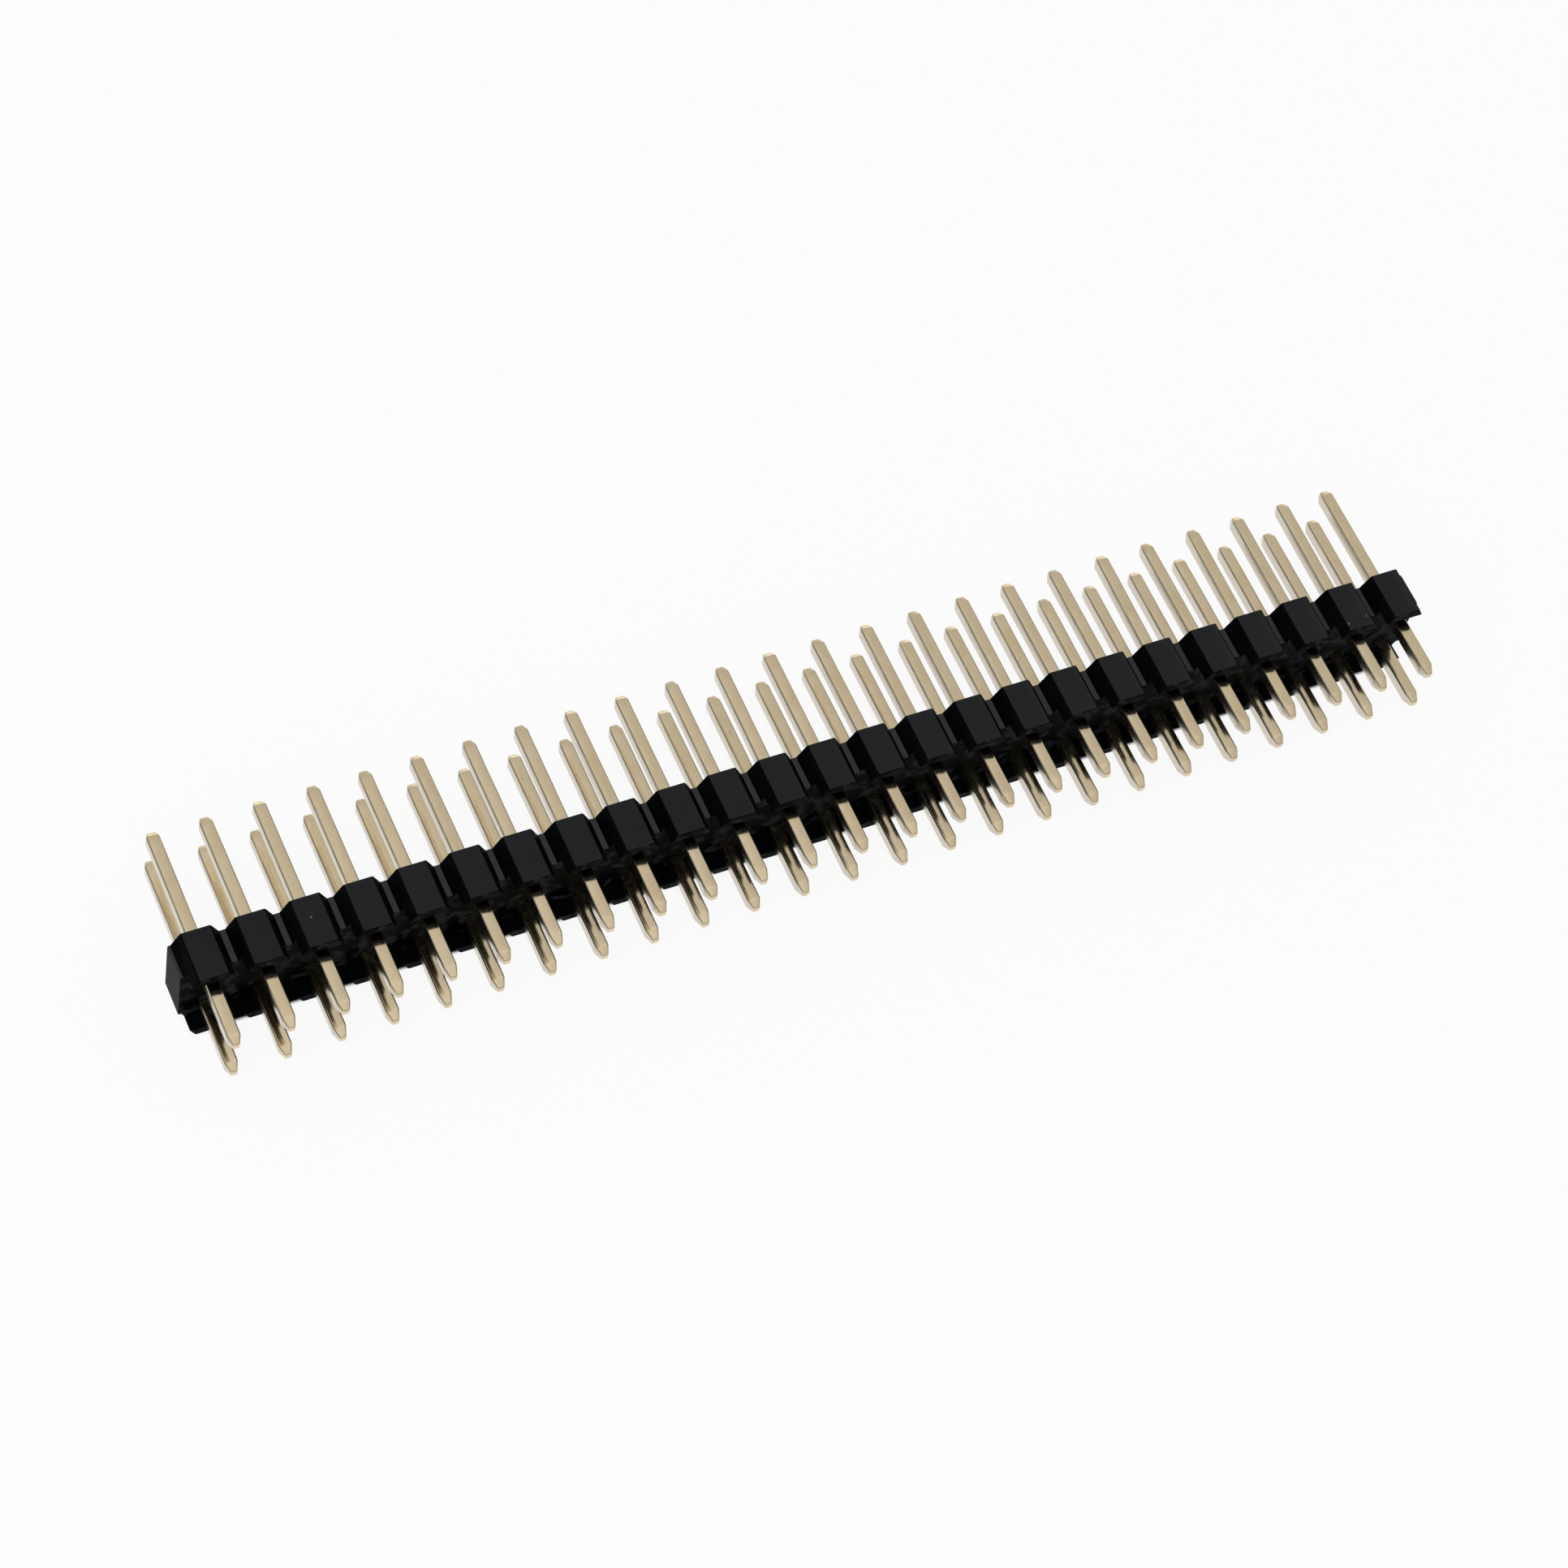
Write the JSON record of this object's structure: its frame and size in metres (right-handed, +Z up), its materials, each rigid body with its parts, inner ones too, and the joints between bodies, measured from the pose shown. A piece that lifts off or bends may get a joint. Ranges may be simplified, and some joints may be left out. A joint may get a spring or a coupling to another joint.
{
  "type": "pin header strip",
  "caption": "Breakaway pin header strip: a black notched insulator bar holding parallel rows of square gilt pins, long mating ends on one side and short solder tails on the other.",
  "frame": {"origin": "middle of the strip's length, on the plane of the stand-off feet that meet the circuit board, and at the height of the surface that the strip lies on", "axes": "+X along the strip, +Y along the mating ends of the pins, away from the board, +Z up, across the rows"},
  "size_m": [0.0636, 0.0113, 0.005],
  "materials": {
    "insulator_plastic": "satin",
    "pin_gilt": "satin"
  },
  "bodies": {
    "root": {"insulator": "insulator_plastic", "pin_a01": "pin_gilt", "pin_a02": "pin_gilt", "pin_a03": "pin_gilt", "pin_a04": "pin_gilt", "pin_a05": "pin_gilt", "pin_a06": "pin_gilt", "pin_a07": "pin_gilt", "pin_a08": "pin_gilt", "pin_a09": "pin_gilt", "pin_a10": "pin_gilt", "pin_a11": "pin_gilt", "pin_a12": "pin_gilt", "pin_a13": "pin_gilt", "pin_a14": "pin_gilt", "pin_a15": "pin_gilt", "pin_a16": "pin_gilt", "pin_a17": "pin_gilt", "pin_a18": "pin_gilt", "pin_a19": "pin_gilt", "pin_a20": "pin_gilt", "pin_a21": "pin_gilt", "pin_a22": "pin_gilt", "pin_a23": "pin_gilt", "pin_a24": "pin_gilt", "pin_a25": "pin_gilt", "pin_b01": "pin_gilt", "pin_b02": "pin_gilt", "pin_b03": "pin_gilt", "pin_b04": "pin_gilt", "pin_b05": "pin_gilt", "pin_b06": "pin_gilt", "pin_b07": "pin_gilt", "pin_b08": "pin_gilt", "pin_b09": "pin_gilt", "pin_b10": "pin_gilt", "pin_b11": "pin_gilt", "pin_b12": "pin_gilt", "pin_b13": "pin_gilt", "pin_b14": "pin_gilt", "pin_b15": "pin_gilt", "pin_b16": "pin_gilt", "pin_b17": "pin_gilt", "pin_b18": "pin_gilt", "pin_b19": "pin_gilt", "pin_b20": "pin_gilt", "pin_b21": "pin_gilt", "pin_b22": "pin_gilt", "pin_b23": "pin_gilt", "pin_b24": "pin_gilt", "pin_b25": "pin_gilt"}
  },
  "joints": []
}
